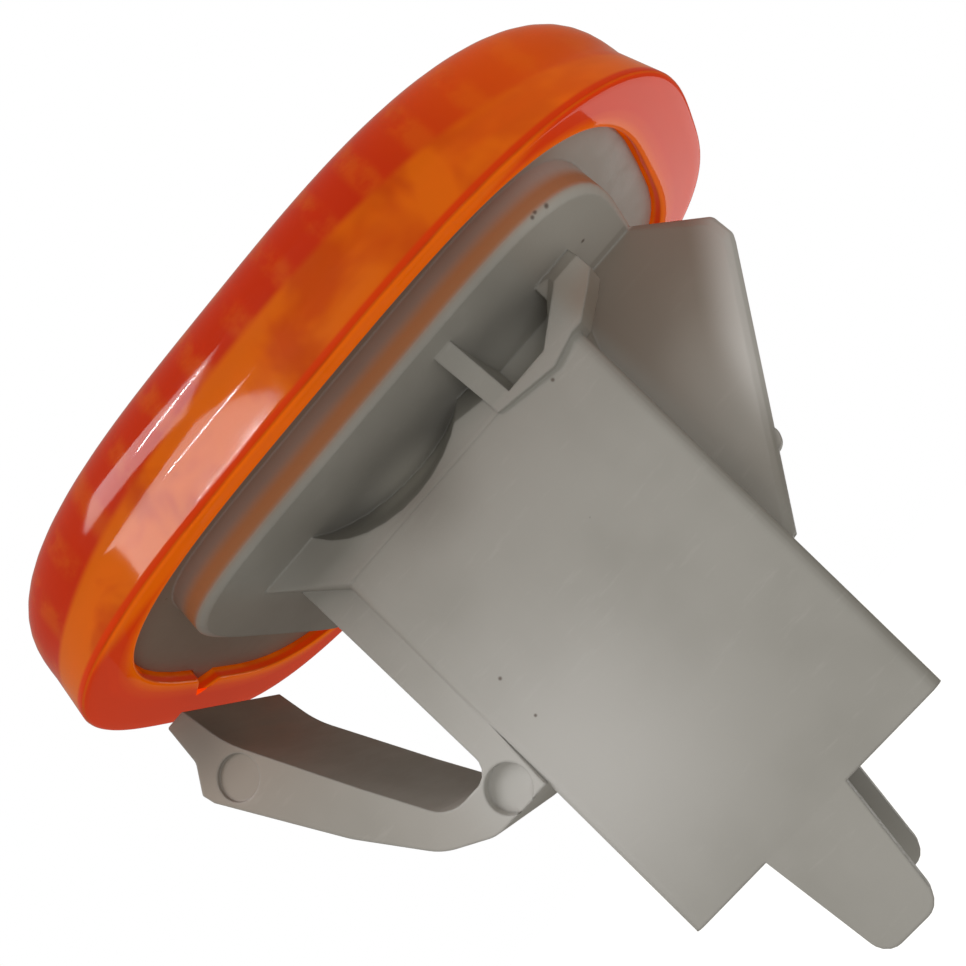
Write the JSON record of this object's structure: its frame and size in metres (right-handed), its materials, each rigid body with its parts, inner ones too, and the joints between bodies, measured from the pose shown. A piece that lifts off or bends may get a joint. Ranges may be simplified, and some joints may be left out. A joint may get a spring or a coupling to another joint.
{
  "type": "side repeater lamp",
  "caption": "Oval amber side repeater lamp with a domed lens, a moulded socket tube behind it, a rigid hook and a spring clip that hold it in a panel cut-out.",
  "frame": {"origin": "middle of the lens rim's rear face, on the outer face of the panel that the lamp is fixed in", "axes": "+X along the lens from the spring clip to the rigid hook, +Y across the lens, +Z out of the panel towards the crown of the lens"},
  "size_m": [0.0721, 0.0382, 0.0712],
  "materials": {
    "housing_plastic": "light grey moulded plastic, satin, lightly scuffed",
    "amber_lens": "clear amber acrylic, polished outside, fluted inside",
    "bulb_glass": "clear glass",
    "filament_wire": "dull tungsten wire",
    "lead_wire": "tinned wire",
    "holder_plastic": "black moulded plastic",
    "contact_brass": "stamped brass strip",
    "seal_rubber": "soft black rubber"
  },
  "bodies": {
    "root": {"housing": "housing_plastic", "lens": "amber_lens", "bulb_glass": "bulb_glass", "filament": "filament_wire", "lead_wires": "lead_wire", "bulb_holder": "holder_plastic", "contact_left": "contact_brass", "contact_right": "contact_brass", "holder_seal": "seal_rubber"}
  },
  "joints": []
}
